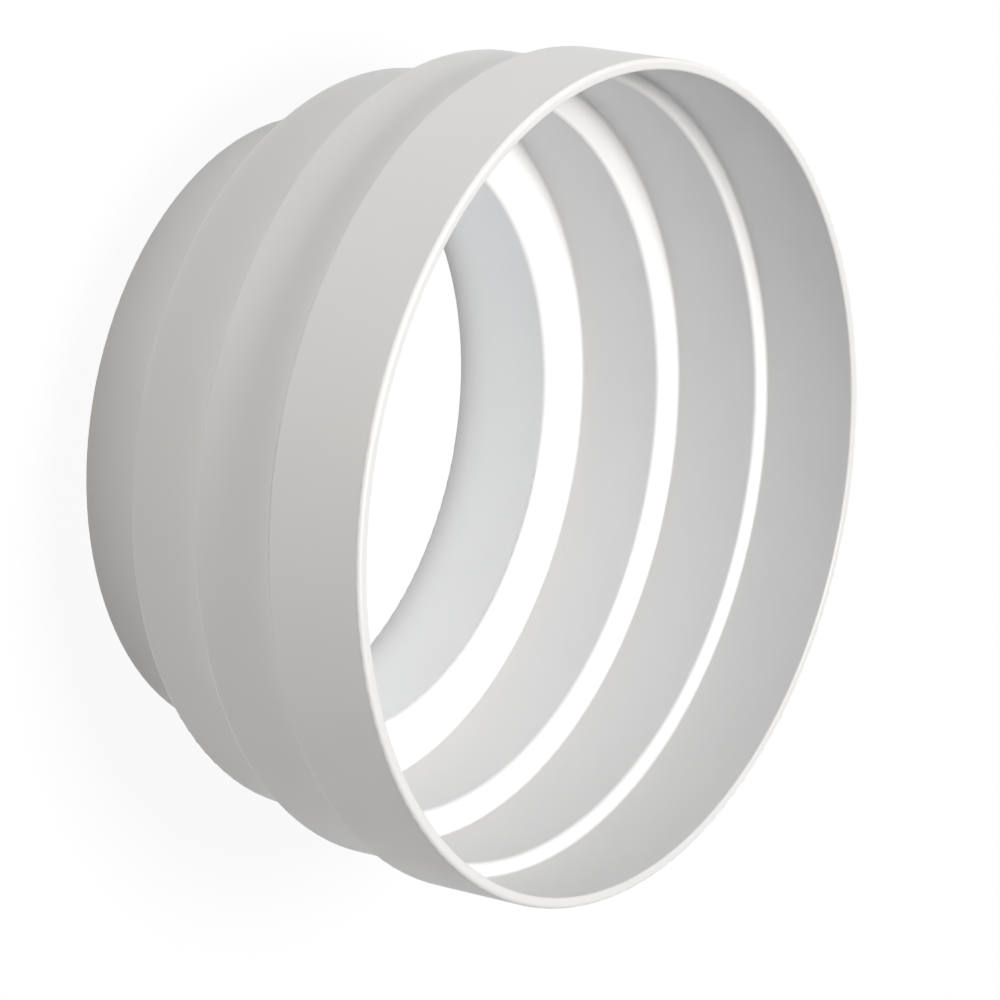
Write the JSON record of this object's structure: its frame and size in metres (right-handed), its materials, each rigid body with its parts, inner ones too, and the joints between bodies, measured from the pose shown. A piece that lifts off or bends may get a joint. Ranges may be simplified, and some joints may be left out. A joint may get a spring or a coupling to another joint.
{
  "type": "duct reducer",
  "caption": "Round stepped duct reducer in white plastic: a wide socket narrows through concentric spigots to join ventilation ducts of different diameters.",
  "frame": {"origin": "centre of the small end's face, the lowest face, on the duct axis", "axes": "+Z along the duct axis from the small end to the large socket, +X and +Y free because the part is round"},
  "size_m": [0.1658, 0.1658, 0.0825],
  "materials": {
    "white_plastic": "injection moulded white plastic, smooth and semi-gloss"
  },
  "bodies": {
    "root": {"reducer_body": "white_plastic"}
  },
  "joints": []
}
